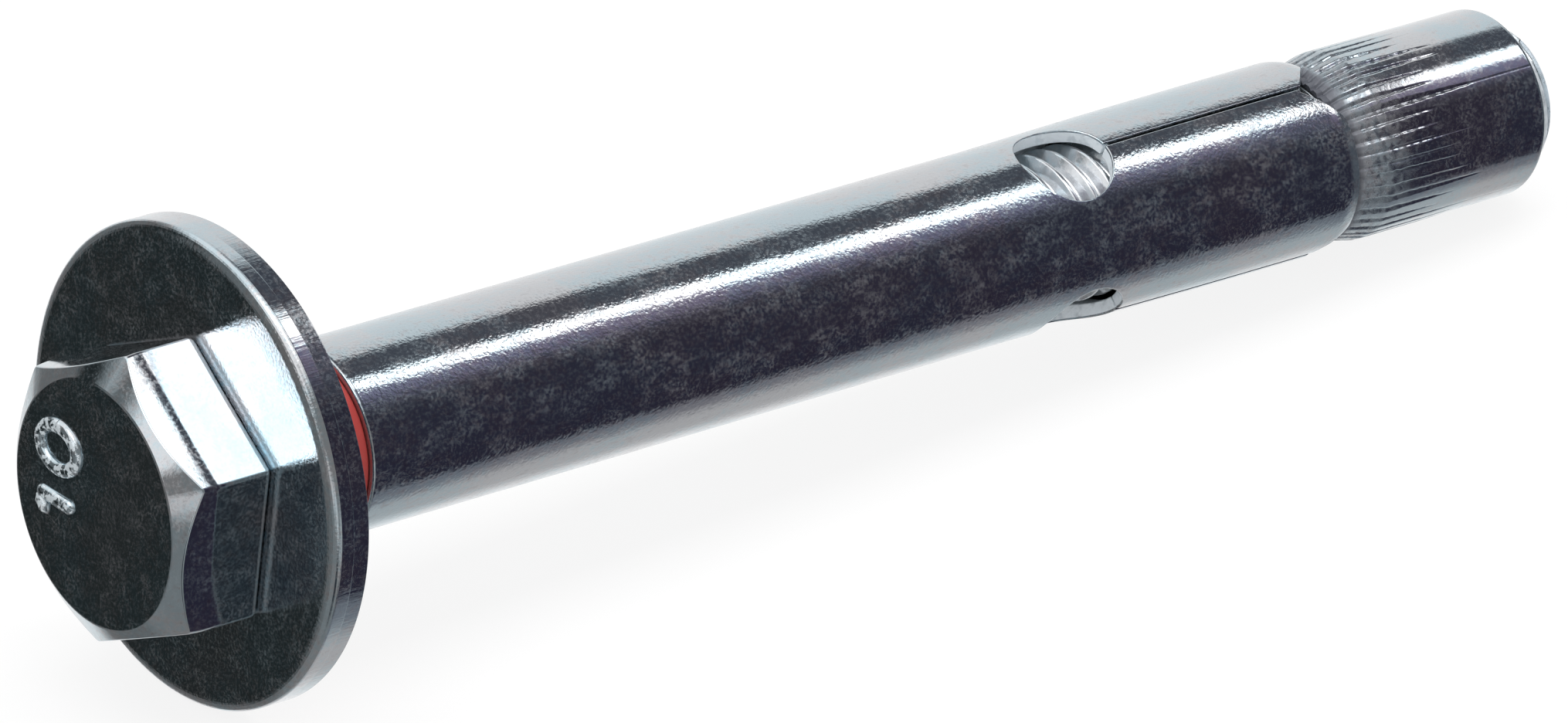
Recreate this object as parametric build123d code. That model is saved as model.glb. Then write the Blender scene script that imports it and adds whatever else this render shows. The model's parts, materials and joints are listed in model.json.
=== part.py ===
from build123d import *
import os
from math import atan, cos, radians, sin, tan

# Sleeve anchor for a 12 mm drill hole, with a hexagon bolt, a large washer, a plastic crush
# ring, a slotted expansion sleeve and a knurled cone nut. Sizes are in millimetres. Every
# piece is first made on the anchor's own axis: Z runs from the bolt head to the tail, zero is
# the head's bearing face, and X is the side that lies uppermost when the anchor rests.

# Bolt, M10 with a rolled thread on a reduced shank
thread_d = 9.8
thread_length = 52.0
shank_d = 9.0
tip_chamfer = 0.4
tip_beyond_nut = 1.6
head_across_flats = 17.0
head_height = 6.4
head_face_d = 15.3
head_chamfer_angle = 33.0
head_corner_angle = 4.0

# Washer, punched from sheet, so its front edge is rolled over and its back edge is sharp
washer_d = 30.0
washer_thickness = 2.5
washer_bore = 11.0
roll_width = 0.9
roll_depth = 0.55
roll_turns = (0, 30, 60, 90)
washer_seat_gap = 0.2

# Crush ring between the washer and the sleeve
ring_length = 7.3
ring_wall = 0.8
ring_clearance = 0.3
ring_edge = 0.15

# Expansion sleeve, rolled from strip, with a butt seam on the line of its last hole
sleeve_d = 12.0
sleeve_wall = 0.9
sleeve_length = 77.6
sleeve_edge = 0.3
hole_count = 3
hole_d = 6.3
hole_to_tail = 21.1
hole_angle = 17.5
slit_width = 0.2
notch_width = 5.0
notch_depth = 2.3
notch_offset = 0.3
seam_width = 0.25
bend_lead = 2.8
knee_beyond_hole = 7.7
knee_flare = 0.15
tail_flare = 0.22
tail_round_length = 1.3
tail_round_depth = 0.3

# Cone nut: a threaded plug with a pointed mouth and straight knurling that fades out
nut_length = 15.9
nut_d = 12.06
nut_entry = 0.4
nut_seat_gap = 0.06
nut_lead_length = 0.5
nut_lead_rise = 0.5
nut_taper_length = 2.2
knurl_stand = 0.05
knurl_plain_length = 4.6
knurl_blend_length = 3.0
nut_tail_bevel = 0.45
nut_mouth_bevel = 0.25
thread_clearance = 0.05
flute_count = 44
flute_depth = 0.2
flute_angle = 90.0
flute_lengths = (7.4, 9.6, 6.2, 8.6, 10.4)

# How far the knives of cutting tools run past what they cut
overcut = 1.0

sleeve_start = washer_thickness + ring_length
sleeve_end = sleeve_start + sleeve_length
hole_station = sleeve_end - hole_to_tail
nut_start = sleeve_end - nut_entry
nut_end = nut_start + nut_length
bolt_end = nut_end + tip_beyond_nut
thread_start = bolt_end - thread_length
thread_runout = (thread_d - shank_d) / 2

ring_bore = shank_d + 2 * ring_clearance
ring_d = ring_bore + 2 * ring_wall
washer_rise = (washer_bore - shank_d) / 2 - washer_seat_gap
neck_radius = washer_seat_gap

sleeve_r = sleeve_d / 2
leaf_tip_r = sleeve_r + tail_flare
leaf_mouth_r = leaf_tip_r - sleeve_wall
nut_nose_r = leaf_mouth_r - nut_seat_gap
nut_r = nut_d / 2
knurl_r = nut_r + knurl_stand
nut_bore_r = thread_d / 2 + thread_clearance


def revolved(points):
    """Solid of revolution about Z from (radius, station) corners in order."""
    outline = make_face(Plane.XZ * Polyline(*points, close=True))
    return revolve(outline, Axis.Z)


def hexagon_head():
    """Hexagon head whose corners are turned off by a cone at the outer face."""
    corner_r = head_across_flats / 2 / cos(radians(30))
    chamfer_depth = (corner_r + overcut - head_face_d / 2) * tan(radians(head_chamfer_angle))
    hexagon = Rot(0, 0, head_corner_angle) * RegularPolygon(corner_r, 6)
    block = Pos(0, 0, -head_height) * extrude(hexagon, head_height)
    turned = revolved(
        [
            (0, -head_height),
            (head_face_d / 2, -head_height),
            (corner_r + overcut, chamfer_depth - head_height),
            (corner_r + overcut, overcut),
            (0, overcut),
        ]
    )
    return block & turned


def hex_bolt():
    """Head, reduced shank and threaded end in one piece."""
    shank_r = shank_d / 2
    stem = revolved(
        [
            (0, -head_height / 2),
            (shank_r, -head_height / 2),
            (shank_r, thread_start - thread_runout),
            (thread_d / 2, thread_start),
            (thread_d / 2, bolt_end - tip_chamfer),
            (thread_d / 2 - tip_chamfer, bolt_end),
            (0, bolt_end),
        ]
    )
    bolt = hexagon_head() + stem
    neck = bolt.edges().filter_by(GeomType.CIRCLE).filter_by(
        lambda edge: abs(edge.radius - shank_r) < 1e-6 and abs(edge.center().Z) < 1e-6
    )
    return fillet(neck, neck_radius)


def flat_washer():
    """Punched disc with a rolled front edge, raised by the play that its bore leaves."""
    rim_r = washer_d / 2
    bore_r = washer_bore / 2
    rolled_edge = [
        (rim_r - roll_width * (1 - sin(radians(turn))), roll_depth * (1 - cos(radians(turn))))
        for turn in roll_turns
    ]
    outline = [(bore_r, 0), *rolled_edge, (rim_r, washer_thickness), (bore_r, washer_thickness)]
    return Pos(washer_rise, 0, 0) * revolved(outline)


def crush_ring():
    """Moulded distance ring that the sleeve pushes against the washer."""
    tube = Cylinder(ring_d / 2, ring_length, align=(Align.CENTER, Align.CENTER, Align.MIN))
    tube -= Cylinder(ring_bore / 2, ring_length, align=(Align.CENTER, Align.CENTER, Align.MIN))
    tube = chamfer(tube.edges().filter_by(GeomType.CIRCLE), ring_edge)
    return Pos(0, 0, washer_thickness) * tube


def sleeve_tube():
    """Tube whose tail opens slightly from the holes on, with its outer ends rounded off."""
    bend = hole_station - bend_lead
    knee = hole_station + knee_beyond_hole
    tail_round = sleeve_end - tail_round_length
    return revolved(
        [
            (sleeve_r - sleeve_wall, sleeve_start),
            (sleeve_r - sleeve_edge, sleeve_start),
            (sleeve_r, sleeve_start + sleeve_edge),
            (sleeve_r, bend),
            (sleeve_r + knee_flare, knee),
            (leaf_tip_r, tail_round),
            (leaf_tip_r - tail_round_depth / 3, sleeve_end - tail_round_length / 3),
            (leaf_tip_r - tail_round_depth, sleeve_end),
            (leaf_mouth_r, sleeve_end),
            (sleeve_r + knee_flare - sleeve_wall, knee),
            (sleeve_r - sleeve_wall, bend),
        ]
    )


def radial_slot(width, start, end):
    """Cutter for a slot through one side of the sleeve, on the side of X."""
    reach = leaf_tip_r + overcut
    slot = Box(reach, width, end - start, align=(Align.MIN, Align.CENTER, Align.MIN))
    return Pos(0, 0, start) * slot


def notch_cutter():
    """Cutter for the V that takes the two leaf corners off beside a slit's tail end."""
    left = notch_offset - notch_width / 2
    right = notch_offset + notch_width / 2
    outline = Polyline(
        (notch_offset, sleeve_end - notch_depth),
        (right, sleeve_end),
        (right, sleeve_end + overcut),
        (left, sleeve_end + overcut),
        (left, sleeve_end),
        close=True,
    )
    return extrude(Plane.YZ * make_face(outline), leaf_tip_r + overcut)


def expansion_sleeve():
    """Slotted sleeve: round holes, slits from them to the tail and one seam to the front."""
    sleeve = sleeve_tube()
    hole = Pos(0, 0, hole_station) * Rot(0, 90, 0) * Cylinder(
        hole_d / 2, leaf_tip_r + overcut, align=(Align.CENTER, Align.CENTER, Align.MIN)
    )
    slit = radial_slot(slit_width, hole_station, sleeve_end + overcut)
    for number in range(hole_count):
        turn = Rot(0, 0, hole_angle + number * 360 / hole_count)
        sleeve -= turn * (hole + slit + notch_cutter())
    seam_turn = Rot(0, 0, hole_angle - 360 / hole_count)
    sleeve -= seam_turn * radial_slot(seam_width, sleeve_start - overcut, hole_station)
    return sleeve


def nut_blank():
    """Cone nut before knurling: a short pointed mouth, a taper and a parallel tail."""
    nose_end = sleeve_end + nut_seat_gap
    lead_end = nose_end + nut_lead_length
    taper_end = lead_end + nut_taper_length
    plain_end = taper_end + knurl_plain_length
    return revolved(
        [
            (nut_bore_r + nut_mouth_bevel, nut_start),
            (nut_nose_r, nut_start),
            (nut_nose_r, nose_end),
            (nut_nose_r + nut_lead_rise, lead_end),
            (knurl_r, taper_end),
            (knurl_r, plain_end),
            (nut_r, plain_end + knurl_blend_length),
            (nut_r, nut_end - nut_tail_bevel),
            (nut_r - nut_tail_bevel, nut_end),
            (nut_bore_r + nut_mouth_bevel, nut_end),
            (nut_bore_r, nut_end - nut_mouth_bevel),
            (nut_bore_r, nut_start + nut_mouth_bevel),
        ]
    )


def flute_cutter(length):
    """V cutter that leans outwards, so its groove fades out after the given length."""
    root_r = knurl_r - flute_depth
    height = flute_depth + overcut
    half_width = height * tan(radians(flute_angle / 2))
    section = Plane.XY.offset(nut_start) * make_face(
        Polyline(
            (root_r, 0),
            (root_r + height, half_width),
            (root_r + height, -half_width),
            close=True,
        )
    )
    lean = Vector(flute_depth, 0, length)
    return extrude(section, lean.length, dir=lean.normalized())


def cone_nut():
    """Cone nut with straight flutes of uneven length round its mouth."""
    cutters = []
    for number in range(flute_count):
        cutter = flute_cutter(flute_lengths[number % len(flute_lengths)])
        cutters.append(Rot(0, 0, number * 360 / flute_count) * cutter)
    return nut_blank() - cutters


def resting_place():
    """Where the anchor's axis lies when the washer's rim and the nut's tail touch the floor."""
    rim_drop = washer_d / 2 - washer_rise
    span = nut_end - nut_tail_bevel - washer_thickness
    tilt = atan((rim_drop - nut_r) / span)
    height = washer_thickness * sin(tilt) + rim_drop * cos(tilt)
    plane = Plane(
        origin=(0, 0, height), x_dir=(sin(tilt), 0, cos(tilt)), z_dir=(cos(tilt), 0, -sin(tilt))
    )
    return plane.location


def centring(pieces):
    """Move that brings the middle of all pieces, seen from above, to the origin."""
    box = Compound(pieces).bounding_box()
    return Pos(-box.center().X, -box.center().Y, 0)


def main():
    makers = {
        "hex_bolt": hex_bolt,
        "washer": flat_washer,
        "crush_ring": crush_ring,
        "expansion_sleeve": expansion_sleeve,
        "cone_nut": cone_nut,
    }
    rest = resting_place()
    laid = {name: rest * make() for name, make in makers.items()}
    middle = centring(list(laid.values()))
    os.makedirs("parts", exist_ok=True)
    for name, piece in laid.items():
        export_step(middle * piece, f"parts/{name}.step")


main()
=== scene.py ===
import json
from math import asin, atan2, cos, pi, radians, sin, sqrt, tan

import bmesh
import bpy
import numpy as np
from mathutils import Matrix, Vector


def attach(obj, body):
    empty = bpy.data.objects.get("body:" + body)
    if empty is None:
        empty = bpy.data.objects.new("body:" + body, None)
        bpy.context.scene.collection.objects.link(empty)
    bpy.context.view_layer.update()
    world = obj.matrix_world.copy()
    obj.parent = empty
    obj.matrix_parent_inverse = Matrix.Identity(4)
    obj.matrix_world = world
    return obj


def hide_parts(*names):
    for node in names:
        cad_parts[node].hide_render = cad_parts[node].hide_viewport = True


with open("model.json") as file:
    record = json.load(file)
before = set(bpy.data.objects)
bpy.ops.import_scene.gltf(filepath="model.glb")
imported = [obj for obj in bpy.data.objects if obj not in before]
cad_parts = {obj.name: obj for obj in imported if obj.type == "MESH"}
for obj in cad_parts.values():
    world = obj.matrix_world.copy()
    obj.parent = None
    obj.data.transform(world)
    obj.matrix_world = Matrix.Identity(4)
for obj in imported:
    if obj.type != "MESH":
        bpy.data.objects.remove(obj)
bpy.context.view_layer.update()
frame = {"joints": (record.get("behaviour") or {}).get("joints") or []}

# The anchor lies as it would on a table, on the rim of its washer and the tail of its cone nut.
# Every piece sits round the bolt's axis, so points are given in millimetres as up, side and
# station: side is towards the photographer, and station runs from the head's seat to the tail.
MM = 0.001
turning = next(joint for joint in frame["joints"] if joint["name"] == "bolt_turn")
seat = Vector(turning["pos_m"])
tailward = -Vector(turning["axis"]).normalized()
side = Vector((0, -1, 0))
up = side.cross(tailward)


def in_place(points):
    """World points in metres, from points given as up, side and station in millimetres."""
    return np.array(seat) + MM * np.asarray(points) @ np.array([up, side, tailward])


# Hexagon bolt: one piece of cold-headed steel with a chamfered head, a shank drawn down to the
# thread's pitch diameter, and a rolled thread that runs through the cone nut to the cut tip.
head_across_flats = 17.0
head_height = 6.4
head_face_r = 7.65
head_chamfer = radians(33)
head_corner_turn = radians(4)
head_corner_r = 0.35
head_shoulder_r = 0.2
head_face_edge_r = 0.35
head_seat_edge_r = 0.6
neck_r = 0.18
trim_roll_start = 3.95
trim_roll_turn = radians(8)
trim_roll_length = 0.45
shank_r = 4.5
thread_r = 4.9
thread_depth = 0.85
thread_pitch = 1.5
thread_start = 52.5
bolt_end = 104.5
tip_bevel = 0.4


def rounded(corners, steps=4, closed=False):
    """Line through corners given as (radius, station, rounding), with an arc at each corner."""
    places = [Vector(corner[:2]) for corner in corners]
    line = [] if closed else [places[0]]
    for number, (_, _, rounding) in enumerate(corners):
        if not closed and number in (0, len(corners) - 1):
            continue
        corner = places[number]
        back = (places[number - 1] - corner).normalized()
        ahead = (places[(number + 1) % len(places)] - corner).normalized()
        half = back.angle(ahead) / 2
        centre = corner + (back + ahead).normalized() * rounding / sin(half)
        start = corner + back * rounding / tan(half) - centre
        end = corner + ahead * rounding / tan(half) - centre
        bend = pi - 2 * half
        for step in range(steps + 1):
            share = step / steps
            spoke = start * sin((1 - share) * bend) + end * sin(share * bend)
            line.append(centre + spoke / sin(bend))
    if not closed:
        line.append(places[-1])
    return np.array(line)


def skin(rings, closed=False, twist=0):
    """Faces between neighbouring rings; a thread's rings meet the ring of the next turn."""
    count, around = rings.shape[:2]
    index = np.arange(count * around).reshape(count, around)
    onward = np.roll(index, -1, axis=1)
    if twist:
        onward[:, -1] = index[np.minimum(np.arange(count) + twist, count - 1), 0]
    here, there = index, onward
    if closed:
        after, after_there = np.roll(here, -1, axis=0), np.roll(there, -1, axis=0)
    else:
        here, there, after, after_there = here[:-1], there[:-1], index[1:], onward[1:]
    return np.stack([here, there, after_there, after], axis=-1).reshape(-1, 4)


def lathed(line, angles, rise=0.0):
    """Rings of points for a line of (radius, station) turned round the axis."""
    radius = line[:, 0, None]
    station = line[:, 1, None] * np.ones_like(angles)
    return np.stack([radius * np.cos(angles) + rise, radius * np.sin(angles), station], axis=-1)


weld_gap = 1e-6
sharp_turn = radians(40)


def made(name, parts, body, node, material, bevel=0.0):
    """Mesh object from (points, faces) parts, welded, with normals that follow its faces."""
    mesh = bpy.data.meshes.new(name)
    points, faces, first = [], [], 0
    for part_points, part_faces in parts:
        part_points = in_place(part_points).reshape(-1, 3)
        points.extend(part_points.tolist())
        faces.extend((np.asarray(part_faces) + first).tolist())
        first += len(part_points)
    mesh.from_pydata(points, [], faces)
    work = bmesh.new()
    work.from_mesh(mesh)
    bmesh.ops.remove_doubles(work, verts=work.verts, dist=weld_gap)
    bmesh.ops.recalc_face_normals(work, faces=work.faces)
    if bevel:
        sharp = [
            edge
            for edge in work.edges
            if edge.is_manifold and edge.calc_face_angle() > sharp_turn
        ]
        rounding = {"offset": bevel * MM, "segments": 3, "profile": 0.5, "affect": "EDGES"}
        bmesh.ops.bevel(work, geom=sharp, **rounding)
    work.to_mesh(mesh)
    work.free()
    mesh.shade_smooth()
    weigh_normals(mesh)
    piece = bpy.data.objects.new(name, mesh)
    bpy.context.collection.objects.link(piece)
    mesh.materials.append(material)
    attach(piece, body)
    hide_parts(node)
    return piece


def weigh_normals(mesh):
    """Point normals weighted by face area, so that flats stay flat beside their small edges."""
    total = np.zeros((len(mesh.vertices), 3))
    for face in mesh.polygons:
        total[list(face.vertices)] += np.array(face.normal) * face.area
    total /= np.linalg.norm(total, axis=1, keepdims=True) + 1e-20
    mesh.normals_split_custom_set_from_vertices(total.tolist())


class Wire:
    """One output of a shader node: sums and products with it add Math nodes."""

    def __init__(self, shop, socket):
        self.shop = shop
        self.socket = socket

    def math(self, operation, first, second):
        return self.shop.node("Math", {"operation": operation}, {0: first, 1: second})

    def __add__(self, other):
        return self.math("ADD", self, other)

    def __sub__(self, other):
        return self.math("SUBTRACT", self, other)

    def __rsub__(self, other):
        return self.math("SUBTRACT", other, self)

    def __mul__(self, other):
        return self.math("MULTIPLY", self, other)

    def __truediv__(self, other):
        return self.math("DIVIDE", self, other)

    __radd__ = __add__
    __rmul__ = __mul__


class Shop:
    """The node tree of one material, or of the world, with one way to add a node."""

    def __init__(self, owner):
        owner.use_nodes = True
        self.tree = owner.node_tree
        self.tree.nodes.clear()

    def node(self, kind, settings=None, sockets=None, output=0):
        added = self.tree.nodes.new("ShaderNode" + kind)
        for name, value in (settings or {}).items():
            setattr(added, name, value)
        for name, value in (sockets or {}).items():
            if isinstance(value, Wire):
                self.tree.links.new(value.socket, added.inputs[name])
            else:
                added.inputs[name].default_value = value
        return Wire(self, added.outputs[output]) if added.outputs else None

    def dot(self, vector, direction):
        """Length of a vector along a fixed direction."""
        sockets = {0: vector, 1: tuple(direction)}
        return self.node("VectorMath", {"operation": "DOT_PRODUCT"}, sockets, output="Value")

    def fade(self, value, start, end, low=0.0, high=1.0):
        """Smooth change from low to high as the value goes from start to end."""
        sockets = {"Value": value, "From Min": start, "From Max": end}
        sockets |= {"To Min": low, "To Max": high}
        return self.node("MapRange", {"interpolation_type": "SMOOTHSTEP"}, sockets)

    def blend(self, share, first, second):
        """Mix of two colours."""
        sockets = {0: share, 6: first, 7: second}
        return self.node("Mix", {"data_type": "RGBA"}, sockets, output=2)

    def spot(self, stretch=(1, 1, 1)):
        """Place on the anchor as up, side and station in millimetres, each one stretched."""
        here = self.node("TexCoord", output="Object")
        here = self.node("VectorMath", {"operation": "SUBTRACT"}, {0: here, 1: tuple(seat)})
        axes = zip("XYZ", (up, side, tailward), stretch)
        lengths = {
            axis: self.dot(here, direction * factor / MM) for axis, direction, factor in axes
        }
        return self.node("CombineXYZ", sockets=lengths)

    def noise(self, where, scale, detail=3.0, roughness=0.55):
        """Soft noise whose scale is in features per millimetre."""
        sockets = {"Vector": where, "Scale": scale, "Detail": detail, "Roughness": roughness}
        return self.node("TexNoise", sockets=sockets, output="Fac")


bluish_zinc = (0.46, 0.545, 0.59, 1)
brownish_zinc = (0.535, 0.545, 0.565, 1)
dark_zinc = (0.36, 0.37, 0.39, 1)
# Pale colour of cut metal, also used for the painted glints on the bolt's raised mark.
pale_cut_and_glint = (0.88, 0.94, 0.98, 1)
cut_roughness = 0.42
plating_relief = 6e-6


def zinc(
    name,
    gloss,
    ripple=1.0,
    grain=1.0,
    lengthwise=1.0,
    streaks=0.1,
    dust=0.03,
    bare_and_painted=None,
    bare_and_painted_colour=pale_cut_and_glint,
):
    """Bright zinc plating: bluish and brownish clouds, haze, fine grain and forming marks.

    Where the bare share rises to one, the metal is as rough as a cut or a press leaves it and takes
    the bare colour; on the nut that dark share is painted shade, and on the bolt's raised mark its
    pale specks are painted highlight.
    """
    material = bpy.data.materials.new(name)
    shop = Shop(material)
    spot = shop.spot()
    drawn = shop.spot((1, 1, 1 / lengthwise))
    tone = shop.noise(drawn, 0.16, detail=2.0)
    cloud = shop.noise(drawn, 0.7, detail=5.0, roughness=0.65)
    mottle = shop.noise(drawn, 2.4, detail=3.0, roughness=0.65)
    grit = shop.noise(spot, 5.0, detail=1.0, roughness=0.5)
    swell = shop.noise(drawn, 0.9, detail=1.0)
    streak = shop.noise(shop.spot((5, 5, 0.35)), 1.0, detail=3.0)
    haze = shop.fade(cloud, 0.44, 0.62) * shop.fade(grit * 0.6 + mottle * 0.4, 0.36, 0.60)
    fleck = shop.fade(grit, 0.45, 0.65)
    tint = shop.fade(tone * 0.6 + mottle * 0.4, 0.42, 0.58)
    colour = shop.blend(tint, bluish_zinc, brownish_zinc)
    colour = shop.blend(shop.fade(mottle, 0.55, 0.72) * 0.4, colour, dark_zinc)
    roughness = gloss + haze * 0.08 + fleck * 0.05
    metallic = 1 - haze * dust - fleck * 0.03
    height = swell * 1.2 * ripple + mottle * 0.25 * ripple
    height = height + grit * 0.55 * grain + streak * streaks
    if bare_and_painted:
        # This share and its colour also carry painted shade on the nut and painted glints on the
        # bolt.
        share = bare_and_painted(shop)
        colour = shop.blend(share, colour, bare_and_painted_colour)
        roughness = roughness * (1 - share) + share * cut_roughness
        metallic = metallic * (1 - share * 0.85)
        height = height + share * grit * 1.2
    relief = {"Height": height, "Distance": plating_relief, "Strength": 1.0}
    normal = shop.node("Bump", sockets=relief)
    sockets = {"Base Color": colour, "Metallic": metallic, "Roughness": roughness, "Normal": normal}
    surface = shop.node("BsdfPrincipled", sockets=sockets)
    shop.node("OutputMaterial", sockets={"Surface": surface})
    return material


def hexagon_angles(edge_steps=3, flat_steps=9):
    """Angles round the bolt, close together at the head's corners, and each one's head radius."""
    apothem = head_across_flats / 2
    centre = (apothem - head_corner_r) / cos(pi / 6)
    tangent = atan2(head_corner_r * sin(pi / 6), centre + head_corner_r * cos(pi / 6))
    near = [tangent * step / edge_steps for step in range(edge_steps)]
    far = [tangent + (pi / 6 - tangent) * step / flat_steps for step in range(flat_steps)]
    angles, radii = [], []
    for corner in range(6):
        turn = head_corner_turn + corner * pi / 3
        half = near + far
        for away in [*half, pi / 6, *[pi / 3 - away for away in reversed(half[1:])]]:
            off = min(away, pi / 3 - away)
            angles.append(turn + away)
            if off < tangent:
                radii.append(centre * cos(off) + sqrt(head_corner_r**2 - (centre * sin(off)) ** 2))
            else:
                radii.append(apothem / cos(pi / 6 - off))
    return np.array(angles), np.array(radii)


def trim_inset(height):
    """How far the flats roll over where the trimming die starts to cut, high on the head."""
    past = np.clip(height - trim_roll_start, 0, None)
    return trim_roll_turn * (past - trim_roll_length * (1 - np.exp(-past / trim_roll_length)))


def head_and_shank(angles, radii):
    """Rings of the head, from the middle of its end face, then of the neck and the shank."""
    columns = []
    for radius in radii:
        shoulder = head_height
        for _ in range(12):
            beyond_face = radius - trim_inset(shoulder) - head_face_r
            shoulder = head_height - beyond_face * tan(head_chamfer)
        heights = np.linspace(shoulder, trim_roll_start, 9)
        rolled = [(radius - trim_inset(height), -height, 0.02) for height in heights[1:]]
        columns.append(
            rounded(
                [
                    (0, -head_height, 0),
                    (head_face_r, -head_height, head_face_edge_r),
                    (radius - trim_inset(shoulder), -shoulder, head_shoulder_r),
                    *rolled,
                    (radius, 0, head_seat_edge_r),
                    (shank_r, 0, neck_r),
                    (shank_r, thread_start, 0),
                ]
            )
        )
    lines = np.array(columns)
    radius, station = lines[..., 0].T, lines[..., 1].T
    return np.stack([radius * np.cos(angles), radius * np.sin(angles), station], axis=-1)


# One turn of the thread as (share of the pitch, share of the depth)
thread_profile = [
    (-0.42, 0.04),
    (-0.36, 0.16),
    (-0.10, 0.90),
    (-0.06, 0.99),
    (0.06, 0.99),
    (0.10, 0.90),
    (0.36, 0.16),
    (0.42, 0.04),
    (0.5, 0.0),
]


def thread(angles):
    """Rings that follow the thread's helix, clipped at the shank and at the tip."""
    turns = range(-1, int((bolt_end - thread_start) / thread_pitch) + 2)
    rows = [
        (thread_start + (turn + share) * thread_pitch, height)
        for turn in turns
        for share, height in thread_profile
    ]
    base, height = np.array(rows).T
    lead = (angles - angles[0]) / (2 * pi) * thread_pitch
    station = np.clip(base[:, None] + lead, thread_start, bolt_end)
    growth = np.clip((station - thread_start) / thread_pitch, 0, 1)
    radius = shank_r + growth * (thread_r - thread_depth * (1 - height[:, None]) - shank_r)
    radius = np.minimum(radius, thread_r - np.clip(station - (bolt_end - tip_bevel), 0, None))
    rings = np.stack([radius * np.cos(angles), radius * np.sin(angles), station], axis=-1)
    return rings, len(thread_profile)


mark_corner = (-1.9, -1.8)
mark_height = 3.7
one_stem = 0.75
one_flag_reach = (-0.55, 0.6)
one_flag_drop = (1.1, 0.08)
zero_middle = 4.15
zero_half_width = 1.35
stroke_half_width = 0.48
stroke_rise = 0.36
stroke_sunk = 0.02


def raised_stroke(path):
    """Half-round ridge on the head's end face that follows a path of (reading, height) points."""
    path = np.array(path)
    run = np.gradient(path, axis=0)
    run /= np.linalg.norm(run, axis=1, keepdims=True)
    across = np.stack([-run[:, 1], run[:, 0]], axis=-1)
    length = np.concatenate([[0], np.cumsum(np.linalg.norm(np.diff(path, axis=0), axis=1))])
    from_end = np.minimum(length, length[-1] - length)
    taper = np.sqrt(np.clip(from_end / stroke_half_width, 0.01, 1))
    if np.allclose(path[0], path[-1]):
        taper = np.ones(len(path))
    bend = np.linspace(0, pi, 9)
    reach = across * taper[:, None] * stroke_half_width
    flat = path[:, None] + reach[:, None] * np.cos(bend)[:, None]
    rise = stroke_rise * taper[:, None] * np.sin(bend) - stroke_sunk
    reading, letter = flat[..., 0] + mark_corner[0], flat[..., 1]
    return np.stack([reading, mark_corner[1] - letter, -head_height - rise], axis=-1)


def mark_strokes():
    """A plain one and a plain zero, as cold heading raises them."""
    low_flag, high_flag = [
        (reach, mark_height - drop) for reach, drop in zip(one_flag_reach, one_flag_drop)
    ]
    stem = np.linspace((one_stem, 0), (one_stem, mark_height), 24)
    flag = np.linspace(low_flag, high_flag, 24)
    turn = np.linspace(0, 2 * pi, 49)
    across = zero_middle + zero_half_width * np.cos(turn)
    upward = (1 + 0.96 * np.sin(turn)) * mark_height / 2
    ring = np.stack([across, upward], axis=-1)
    return [raised_stroke(path) for path in (stem, flag, ring)]


def sheet_faces(shape):
    """Faces of a grid of points."""
    index = np.arange(shape[0] * shape[1]).reshape(shape)
    corners = [index[:-1, :-1], index[:-1, 1:], index[1:, 1:], index[1:, :-1]]
    return np.stack(corners, axis=-1).reshape(-1, 4)


def worked_end_and_painted_glints(shop):
    """Share of rough pale metal: pale specks on the raised mark as painted highlight, and rough
    metal on some of the thread and half of the tip.
    """
    spot = shop.spot()
    station = shop.dot(spot, (0, 0, 1))
    rolled = shop.fade(station, thread_start, thread_start + 1)
    rolled = rolled * shop.fade(shop.noise(spot, 1.2), 0.4, 0.65, low=0.4)
    raised = shop.fade(station, -head_height - 0.04, -head_height - 0.16)
    # Pale specks on the raised strokes are painted highlight, standing in for their glints.
    painted_glint_specks = raised * shop.fade(shop.noise(spot, 2.6), 0.46, 0.56)
    tip = shop.fade(station, bolt_end - 1.7, bolt_end - 1.4)
    return painted_glint_specks * 0.6 + rolled * 0.3 + tip * 0.45


bolt_plating = zinc("bolt_plating", gloss=0.07, ripple=0.6, grain=0.6, bare_and_painted=worked_end_and_painted_glints)
bolt_angles, hexagon_radii = hexagon_angles()
upper_rings = head_and_shank(bolt_angles, hexagon_radii)
thread_rings, twist = thread(bolt_angles)
middle = np.broadcast_to([0.0, 0.0, bolt_end], thread_rings[-1:].shape)
tip_rings = np.concatenate([thread_rings[-1:], middle])
made(
    "hexagon_bolt",
    [
        (upper_rings, skin(upper_rings)),
        (thread_rings, skin(thread_rings, twist=twist)),
        (tip_rings, skin(tip_rings)),
        *[(stroke, sheet_faces(stroke.shape[:2])) for stroke in mark_strokes()],
    ],
    body="bolt",
    node="hex_bolt",
    material=bolt_plating,
)

# Washer: a large disc punched from sheet, zinc plated. The punch rolled its front edge over and
# left a smooth sheared band and a torn band on its rim. It hangs loose on the bolt's shank.
washer_r = 15.0
washer_bore_r = 5.5
washer_thickness = 2.5
washer_rise = 0.8
washer_roll_width = 0.9
washer_roll_depth = 0.55
washer_edge_r = 0.08
washer_bore_edge_r = 0.25
sheared_band = 1.35
torn_step = 0.05

roll_turns = np.radians(np.linspace(6, 84, 9))
rolled_edge = [
    (
        washer_r - washer_roll_width * (1 - sin(turn)),
        washer_roll_depth * (1 - cos(turn)),
        0.03,
    )
    for turn in roll_turns
]
washer_line = rounded(
    [
        (washer_bore_r, 0, washer_bore_edge_r),
        (washer_r - washer_roll_width, 0, 0.05),
        *rolled_edge,
        (washer_r, washer_roll_depth, 0.01),
        (washer_r, sheared_band, 0.03),
        (washer_r - torn_step, sheared_band + 0.07, 0.03),
        (washer_r, washer_thickness, washer_edge_r),
        (washer_bore_r, washer_thickness, washer_edge_r),
    ],
    closed=True,
)
washer_angles = np.linspace(0, 2 * pi, 240, endpoint=False)
washer_rings = lathed(washer_line, washer_angles, rise=washer_rise)
washer_plating = zinc("washer_plating", gloss=0.09, ripple=0.6, grain=0.7, streaks=2.0)
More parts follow.
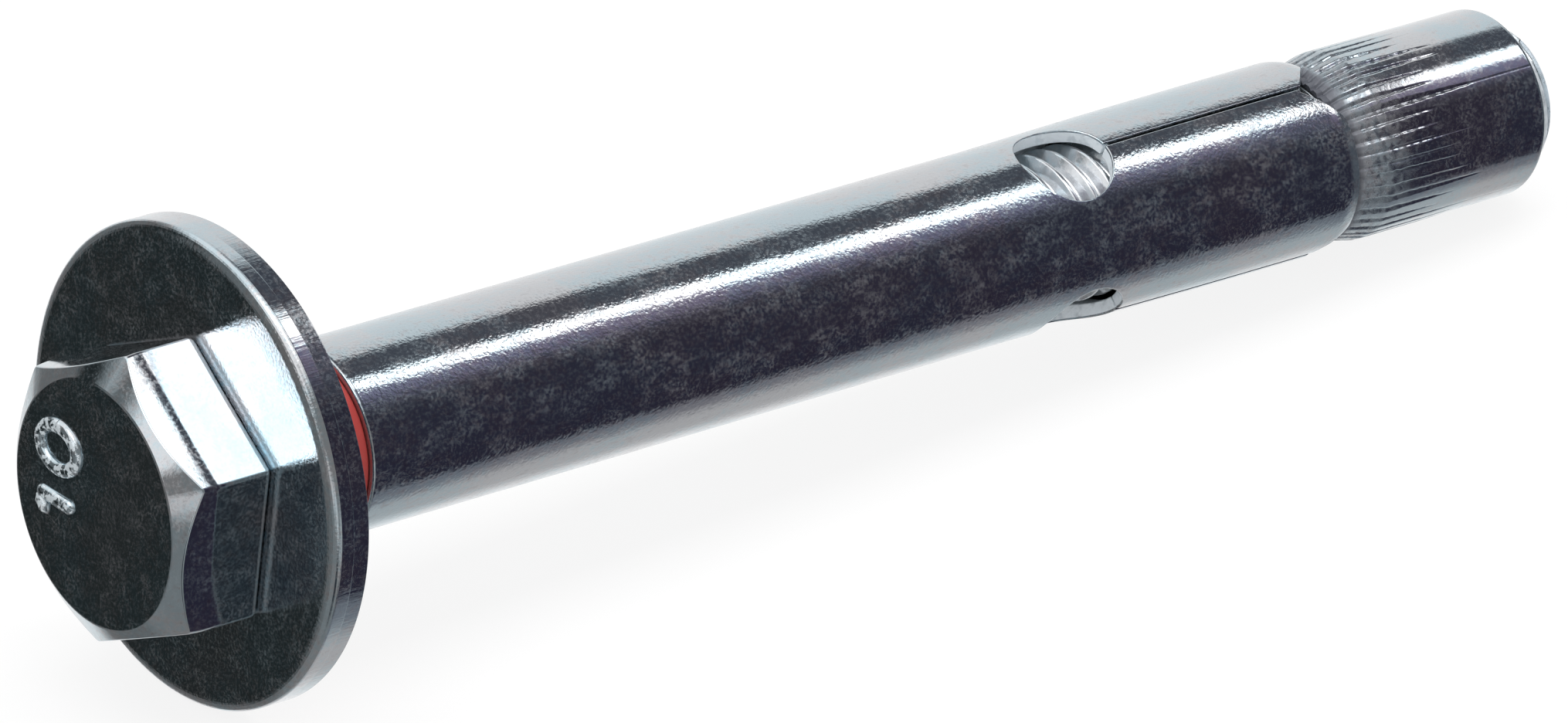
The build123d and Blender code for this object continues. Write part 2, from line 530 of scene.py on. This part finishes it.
made(
    "large_washer",
    [(washer_rings, skin(washer_rings, closed=True))],
    body="sleeve",
    node="washer",
    material=washer_plating,
)

# Crush ring: a short tube moulded in red plastic, loose on the shank between the washer and the
# sleeve. It gives way as the bolt is tightened, so that the clamped plate is pulled down.
ring_start = washer_thickness
ring_end = 9.8
ring_r = 5.6
ring_bore_r = 4.8
ring_edge = 0.15
deep_red = (0.36, 0.038, 0.034, 1)
bright_red = (0.44, 0.052, 0.044, 1)


def moulded_red(name):
    """Satin red plastic with a faint grain."""
    material = bpy.data.materials.new(name)
    shop = Shop(material)
    spot = shop.spot()
    cloud = shop.noise(spot, 0.8)
    grain = shop.noise(spot, 7.0, detail=2.0)
    colour = shop.blend(cloud, deep_red, bright_red)
    normal = shop.node("Bump", sockets={"Height": grain, "Distance": 3e-6, "Strength": 1.0})
    roughness = 0.42 + (cloud - 0.5) * 0.1
    sockets = {"Base Color": colour, "Roughness": roughness, "Normal": normal}
    surface = shop.node("BsdfPrincipled", sockets=sockets)
    shop.node("OutputMaterial", sockets={"Surface": surface})
    return material


ring_line = rounded(
    [
        (ring_bore_r, ring_start, ring_edge),
        (ring_r, ring_start, ring_edge),
        (ring_r, ring_end, ring_edge),
        (ring_bore_r, ring_end, ring_edge),
    ],
    closed=True,
)
ring_rings = lathed(ring_line, np.linspace(0, 2 * pi, 180, endpoint=False))
made(
    "red_crush_ring",
    [(ring_rings, skin(ring_rings, closed=True))],
    body="sleeve",
    node="crush_ring",
    material=moulded_red("ring_red"),
)

# Expansion sleeve: plated steel strip, punched with three holes, rolled to a tube that closes in
# a seam behind one of them, and slit from each hole to the tail, so that its three leaves spring
# slightly outwards and spread when the cone is drawn in.
sleeve_start = 9.8
sleeve_end = 87.4
sleeve_r = 6.0
sleeve_wall = 0.9
hole_station = 66.3
hole_r = 3.15
hole_turn = radians(17.5)
slit_width = 0.2
notch_width = 5.0
notch_depth = 2.3
notch_offset = 0.3
seam_width = 0.25
tail_flare = 0.22
flare_start = 62.0
flare_length = 9.0
tail_round_length = 1.3
tail_round_depth = 0.3
front_round = 0.15
sleeve_edge = 0.09
patch_reach = 4.6


def leaf_rise(station):
    """How far the leaves stand outwards, from nothing before the holes to the tail's flare."""
    along = np.clip(station - flare_start, 0, None) / flare_length
    return tail_flare * (1 - np.exp(-(along**1.3)))


def outer_radius(station):
    """Outside of the sleeve, eased at its two ends."""
    tail = np.clip((station - sleeve_end) / tail_round_length + 1, 0, 1)
    front = np.clip((sleeve_start - station) / front_round + 1, 0, 1)
    eased = tail_round_depth * tail**2 + 0.6 * front_round * front**3
    return sleeve_r + leaf_rise(station) - eased


def inner_radius(station):
    """Inside of the sleeve, one wall further in."""
    return sleeve_r - sleeve_wall + leaf_rise(station)


def half_sector(radius_at, seam, mirror):
    """Grids of (angle, station) for half a sector: round the hole, in front of it, and its leaf."""
    columns, rows, layers = 24, 24, 8
    edge = pi / 3
    tail_s, front_s = hole_station + patch_reach, hole_station - patch_reach
    slit, gap = slit_width / 2, seam_width / 2 if seam else 0.0
    share = np.linspace(0, 1, columns + 1)
    leaf_angles = asin(slit / radius_at(tail_s)) * (1 - share) + edge * share
    front_angles = asin(gap / radius_at(front_s)) * (1 - share) + edge * share
    frame_angle = np.concatenate([leaf_angles, np.full(rows - 1, edge), front_angles[::-1]])
    sides = np.linspace(tail_s, front_s, rows + 1)[1:-1]
    tail_row, front_row = np.full(columns + 1, tail_s), np.full(columns + 1, front_s)
    frame_station = np.concatenate([tail_row, sides, front_row])
    bearing = np.arctan2(frame_angle * sleeve_r, frame_station - hole_station)
    bearing[0], bearing[-1] = asin(slit / hole_r), pi - asin(gap / hole_r)
    hole_s = hole_station + hole_r * np.cos(bearing)
    hole_angle = np.arcsin(hole_r * np.sin(bearing) / radius_at(hole_s))
    out = (np.linspace(0, 1, layers + 1) ** 1.3)[:, None]
    patch_station = hole_s * (1 - out) + frame_station * out
    patch_angle = hole_angle * (1 - out) + frame_angle * out
    patch_angle[:, 0] = np.arcsin(slit / radius_at(patch_station[:, 0]))
    patch_angle[:, -1] = np.arcsin(gap / radius_at(patch_station[:, -1]))
    to_front = np.concatenate([np.linspace(0, 0.99, 14), [0.994, 0.997, 1]])
    front_rows = front_s + (sleeve_start - front_s) * to_front
    leaf_rows = np.concatenate([np.linspace(0, 0.9, 14), np.linspace(0.915, 1, 11)])[:, None]
    front = np.arcsin(gap / radius_at(front_rows))[:, None] * (1 - share) + edge * share
    near_edge = asin(slit / radius_at(sleeve_end))
    from_notch = np.abs(mirror * (near_edge * (1 - share) + edge * share) * sleeve_r - notch_offset)
    leaf_end = sleeve_end - np.clip(notch_depth * (1 - 2 * from_notch / notch_width), 0, None)
    leaf_station = tail_s * (1 - leaf_rows) + leaf_end * leaf_rows
    leaf = np.arcsin(slit / radius_at(leaf_station)) * (1 - share) + edge * share
    across = np.ones(columns + 1)
    return [
        (patch_angle, patch_station),
        (front, front_rows[:, None] * across),
        (leaf, leaf_station),
    ]


def sleeve_parts():
    """Outer and inner sheets of every half sector, with walls along each cut edge."""
    parts = []
    for number in range(3):
        seam = number == 2
        for mirror in (1, -1):
            sheets = []
            for radius_at in (outer_radius, inner_radius):
                grids = []
                for angle, station in half_sector(radius_at, seam, mirror):
                    turn = hole_turn + number * 2 * pi / 3 + mirror * angle
                    radius = radius_at(station)
                    place = [radius * np.cos(turn), radius * np.sin(turn), station]
                    grids.append(np.stack(place, axis=-1))
                sheets.append(grids)
            for outer, inner in zip(*sheets):
                parts.append((outer, sheet_faces(outer.shape[:2])))
                parts.append((inner, sheet_faces(inner.shape[:2])))
            edges = [(0, np.s_[0, :]), (0, np.s_[:, 0]), (1, np.s_[-1, :])]
            edges += [(2, np.s_[-1, :]), (2, np.s_[:, 0])]
            if seam:
                edges += [(0, np.s_[:, -1]), (1, np.s_[:, 0])]
            for grid, cut in edges:
                wall = np.stack([sheets[0][grid][cut], sheets[1][grid][cut]])
                parts.append((wall, sheet_faces(wall.shape[:2])))
    return parts


def punched_wall(shop):
    """Share of torn metal: the walls and the rims of the punched holes."""
    off_axis = {0: shop.spot((1, 1, 0))}
    radius = shop.node("VectorMath", {"operation": "LENGTH"}, off_axis, output="Value")
    off_hole = shop.dot(shop.spot(), (0, 0, 1)) - hole_station
    near_hole = shop.fade(off_hole, -3.8, -3.4) * shop.fade(off_hole, 3.8, 3.4)
    torn = shop.fade(shop.noise(shop.spot(), 1.4), 0.36, 0.5, low=0.7)
    return shop.fade(radius, sleeve_r - 0.01, sleeve_r - 0.06) * near_hole * torn


sleeve_plating = zinc(
    "sleeve_plating",
    gloss=0.11,
    ripple=1.3,
    grain=4.0,
    lengthwise=1.6,
    dust=0.065,
    bare_and_painted=punched_wall,
)
made(
    "slotted_sleeve",
    sleeve_parts(),
    body="sleeve",
    node="expansion_sleeve",
    material=sleeve_plating,
    bevel=sleeve_edge,
)

# Cone nut: a turned and zinc plated plug with the bolt's thread inside. Its pointed mouth sits in
# the sleeve's tail, and a straight knurl, pressed in and fading out, keeps it from turning.
nut_start = 87.0
nut_end = 102.9
nut_nose_r = 5.26
nut_lead_r = 5.62
nut_knurl_r = 6.08
nut_r = 6.03
nut_bore_r = 4.95
nut_nose_length = 0.48
nut_lead_end = 0.95
nut_taper_end = 3.1
knurl_plain_end = 7.8
knurl_end = 10.8
nut_tail_edge_r = 0.45
nut_mouth_bevel = 0.2
flute_count = 44
flute_depth = 0.2
flute_spread = 0.56
flute_lengths = (7.5, 12.5)
flute_zone = 12
flute_samples = 14
knurl_seed = 11


def nut_rings():
    """Rings of the nut, with each flute cut to its own depth, place and length."""
    line = rounded(
        [
            (nut_bore_r + 0.02, nut_start, 0.02),
            (nut_nose_r, nut_start, 0.03),
            (nut_nose_r, nut_start + nut_nose_length, 0.05),
            (nut_lead_r, nut_start + nut_lead_end, 0.1),
            (nut_knurl_r, nut_start + nut_taper_end, 0.8),
            (nut_knurl_r, nut_start + knurl_plain_end, 3.0),
            (nut_r, nut_start + knurl_end, 3.0),
            (nut_r, nut_end, nut_tail_edge_r),
            (nut_bore_r + nut_mouth_bevel, nut_end, 0.05),
            (nut_bore_r, nut_end - nut_mouth_bevel, 0.05),
            (nut_bore_r, nut_start + nut_mouth_bevel, 0.05),
        ],
        closed=True,
    )
    station, radius = line[:, 1], line[:, 0]
    outside = (radius > nut_lead_r - 0.3) & (station < nut_start + flute_zone)
    first, last = np.flatnonzero(outside)[[0, -1]]
    knurled = np.linspace(station[first], station[last], 60)
    blank = np.interp(knurled, station[first : last + 1], radius[first : last + 1])
    knurl_line = np.stack([blank, knurled], axis=-1)
    line = np.concatenate([line[:first], knurl_line, line[last + 1 :]])
    pick = np.random.default_rng(knurl_seed)
    angles = np.linspace(0, 2 * pi, flute_count * flute_samples, endpoint=False)
    rings = lathed(line, angles)
    pitch = 2 * pi / flute_count
    lengths = pick.uniform(*flute_lengths, flute_count)
    depths = flute_depth * pick.uniform(0.75, 1.1, flute_count)
    shifts = pick.uniform(-0.1, 0.1, flute_count) * pitch
    number = np.floor(angles / pitch).astype(int)
    off = np.abs(angles - (number + 0.5) * pitch - shifts[number]) * nut_r
    along = line[:, 1, None] - nut_start
    depth = depths[number] * (1 - (along / lengths[number]) ** 2)
    depth *= pick.uniform(0.75, 1.15, (len(line), flute_count))[:, number]
    cut = np.clip(depth - off * flute_depth / (flute_spread / 2), 0, None)
    cut[(line[:, 0] < nut_nose_r - 0.1) | (line[:, 1] > nut_start + flute_zone)] = 0
    scale = 1 - cut / line[:, 0, None]
    rings[..., :2] *= scale[..., None]
    return rings


# Dark grey painted on the nut's mouth and first teeth as painted shade from the sleeve's tail.
painted_shade_grey = (0.09, 0.095, 0.115, 1)


def painted_shade_at_mouth_and_teeth(shop):
    """Share of dark dull metal that is painted shade: the mouth inside the sleeve's tail, and
    patches of the knurl's first teeth.
    """
    spot = shop.spot()
    station = shop.dot(spot, (0, 0, 1))
    patches = shop.fade(shop.noise(spot, 1.8), 0.38, 0.62, low=0.1, high=0.6)
    # Painted shade: the mouth is darkened where the sleeve's tail shades it, and the first teeth in
    # patches.
    mouth = shop.fade(station, nut_start + 1.5, nut_start + 0.7) * 0.95
    teeth = shop.fade(station, nut_start + 5.5, nut_start + 0.8) * patches
    return mouth + (1 - mouth) * teeth


# The nut's share and its dark grey colour are painted shade.
nut_plating = zinc(
    "nut_plating",
    gloss=0.10,
    ripple=1.0,
    grain=1.2,
    streaks=0.3,
    dust=0.045,
    bare_and_painted=painted_shade_at_mouth_and_teeth,
    bare_and_painted_colour=painted_shade_grey,
)
cone_rings = nut_rings()
made(
    "knurled_cone_nut",
    [(cone_rings, skin(cone_rings, closed=True))],
    body="nut",
    node="cone_nut",
    material=nut_plating,
)

# Studio: white paper under and behind the anchor, one long strip lamp overhead that ends in a
# soft box over the head, grey cards, and dark cloth round the rest, as the polished metal sees it.
paper = (1, 1, 1, 1)
shaded_paper = (0.6, 0.6, 0.6, 1)
table = (0.28, 0.28, 0.28, 1)
far_table = (0.25, 0.25, 0.28, 1)
dark_room = (0.1, 0.1, 0.12, 1)
dim_room = (0.2, 0.2, 0.2, 1)
cloth = (0.035, 0.03, 0.05, 1)
black_cloth = (0.025, 0.03, 0.03, 1)
grey_cloth = (0.05, 0.055, 0.065, 1)
lamp_glow = (0.3, 0.26, 0.38, 1)
strip_lamp = (3.4, 3.4, 3.4, 1)
near_lamp = (4.6, 4.6, 4.6, 1)
soft_box = (1.3, 1.3, 1.3, 1)
card = (0.6, 0.6, 0.6, 1)
bright_card = (0.8, 0.8, 0.8, 1)

# Each thing in the tent spans two angles round the axis, in degrees from straight up towards the
# photographer's side. Each edge has its softness, and later things hang in front of earlier ones.
beside_tail = [
    (-160, 30, -10, 5, paper),
    (-32, 7, 50, 20, dark_room),
    (8, 10, 34, 30, lamp_glow),
    (3, 6, 16, 6, strip_lamp),
    (38, 30, 150, 10, cloth),
    (142, 6, 160, 20, far_table),
]
beside_head = [
    (-165, 20, -60, 20, dim_room),
    (-58, 24, 38, 24, soft_box),
    (40, 24, 165, 20, table),
    (95, 18, 122, 18, card),
]
over_shoulder = [
    (-155, 20, -60, 20, black_cloth),
    (-60, 24, 40, 16, soft_box),
    (-12, 12, 21, 8, near_lamp),
    (112, 14, 152, 16, grey_cloth),
]
before_end = [
    (-165, 20, -50, 10, dim_room),
    (-42, 18, 30, 30, soft_box),
    (90, 22, 122, 22, bright_card),
]
tail_end = (0.11, 0.115, 0.135, 1)
lamp_gap = (0.08, 0.08, 0.10, 1)
white = (1, 1, 1, 1)
even_level = 0.9


def hung(shop, turn, ground, things):
    """What the metal sees at each angle: the things of one part of the tent over its ground."""
    tent = ground
    for start, start_soft, end, end_soft, colour in things:
        share = shop.fade(turn, start - start_soft / 2, start + start_soft / 2)
        share = share * shop.fade(turn, end + end_soft / 2, end - end_soft / 2)
        tent = shop.blend(share, tent, colour)
    return tent


def light_tent():
    """World that is white to the camera, even to matt pieces, and a tent to polished metal."""
    world = bpy.data.worlds.new("light_tent")
    bpy.context.scene.world = world
    shop = Shop(world)
    sight = shop.node("TexCoord", output="Generated")
    above, aside, along = [shop.dot(sight, axis) for axis in (up, side, tailward)]
    turn = shop.node("Math", {"operation": "ARCTAN2"}, {0: aside, 1: above}) * (180 / pi)
    tent = hung(shop, turn, table, before_end)
    shoulder = hung(shop, turn, table, over_shoulder)
    tent = shop.blend(shop.fade(along, -0.74, -0.64), tent, shoulder)
    head_side = hung(shop, turn, table, beside_head)
    tent = shop.blend(shop.fade(along, -0.46, -0.36), tent, head_side)
    tail_side = hung(shop, turn, shaded_paper, beside_tail)
    tent = shop.blend(shop.fade(along, 0.0, 0.2), tent, tail_side)
    gap = shop.fade(along, 0.35, 0.41) * shop.fade(along, 0.55, 0.50)
    tent = shop.blend(gap * shop.fade(above, 0.5, 0.8), tent, lamp_gap)
    tent = shop.blend(shop.fade(along, 0.74, 0.92), tent, tail_end)
    tent_light = shop.node("Background", sockets={"Color": tent, "Strength": 1.0})
    even_light = shop.node("Background", sockets={"Color": white, "Strength": even_level})
    backdrop = shop.node("Background", sockets={"Color": white, "Strength": 1.0})
    polished = shop.node("LightPath", output="Is Glossy Ray")
    seen = shop.node("LightPath", output="Is Camera Ray")
    light = shop.node("MixShader", sockets={0: polished, 1: even_light, 2: tent_light})
    light = shop.node("MixShader", sockets={0: seen, 1: light, 2: backdrop})
    shop.node("OutputWorld", sockets={"Surface": light})


light_tent()


floor_reach = 3.0
floor_drop = 0.0001
floor_grey = (0.9, 0.9, 0.9, 1)
floor_glow = 0.85


def pale_floor():
    """White table that keeps a faint contact shadow under the anchor."""
    mesh = bpy.data.meshes.new("floor")
    corners = [(-1, -1), (1, -1), (1, 1), (-1, 1)]
    places = [(across * floor_reach, along * floor_reach, 0) for across, along in corners]
    mesh.from_pydata(places, [], [(0, 1, 2, 3)])
    floor = bpy.data.objects.new("floor", mesh)
    bpy.context.collection.objects.link(floor)
    floor.location.z = -floor_drop
    floor.visible_glossy = False
    material = bpy.data.materials.new("pale_table")
    shop = Shop(material)
    matt = shop.node("BsdfDiffuse", sockets={"Color": floor_grey})
    glow = shop.node("Emission", sockets={"Color": white, "Strength": 1.0})
    seen = shop.node("LightPath", output="Is Camera Ray")
    surface = shop.node("MixShader", sockets={0: seen * floor_glow, 1: matt, 2: glow})
    shop.node("OutputMaterial", sockets={"Surface": surface})
    mesh.materials.append(material)


pale_floor()

flag_corners = [(60, -4, 129), (60, 50, 129), (60, 50, 137), (60, -4, 137)]
flag_grey = (0.10, 0.10, 0.13, 1)


def dark_flag():
    """Dark cloth over the anchor's tail that only polished metal sees: it trims the strip light."""
    mesh = bpy.data.meshes.new("flag")
    mesh.from_pydata(in_place(flag_corners).tolist(), [], [(0, 1, 2, 3)])
    flag = bpy.data.objects.new("flag", mesh)
    bpy.context.collection.objects.link(flag)
    flag.visible_camera = flag.visible_diffuse = flag.visible_shadow = False
    material = bpy.data.materials.new("flag_cloth")
    shop = Shop(material)
    surface = shop.node("Emission", sockets={"Color": flag_grey, "Strength": 1.0})
    shop.node("OutputMaterial", sockets={"Surface": surface})
    mesh.materials.append(material)


dark_flag()

lamp = bpy.data.lights.new("overhead_lamp", "AREA")
lamp.shape = "RECTANGLE"
lamp.size, lamp.size_y = 1.2, 0.5
lamp.energy = 6.0
overhead = bpy.data.objects.new("overhead_lamp", lamp)
bpy.context.collection.objects.link(overhead)
overhead.location = (0, 0, 0.9)
overhead.visible_glossy = False

# Camera: a long lens above the photographer's side of the head, looking along the anchor.
camera_spot = (406.26, 649.08, -511.24)
camera_sight = (-0.43227, -0.684, 0.58757)
camera_lens = 356.7


def photograph_camera():
    """Camera that looks along the photograph's line of sight and stands upright."""
    data = bpy.data.cameras.new("camera")
    camera = bpy.data.objects.new("camera", data)
    bpy.context.collection.objects.link(camera)
    data.lens = camera_lens
    data.sensor_width = 36
    data.clip_start, data.clip_end = 0.05, 20
    sight = sum((axis * share for axis, share in zip((up, side, tailward), camera_sight)), Vector())
    camera.rotation_euler = sight.to_track_quat("-Z", "Y").to_euler()
    camera.location = in_place([camera_spot])[0]
    bpy.context.scene.camera = camera


photograph_camera()
bpy.context.scene.view_settings.view_transform = "Standard"
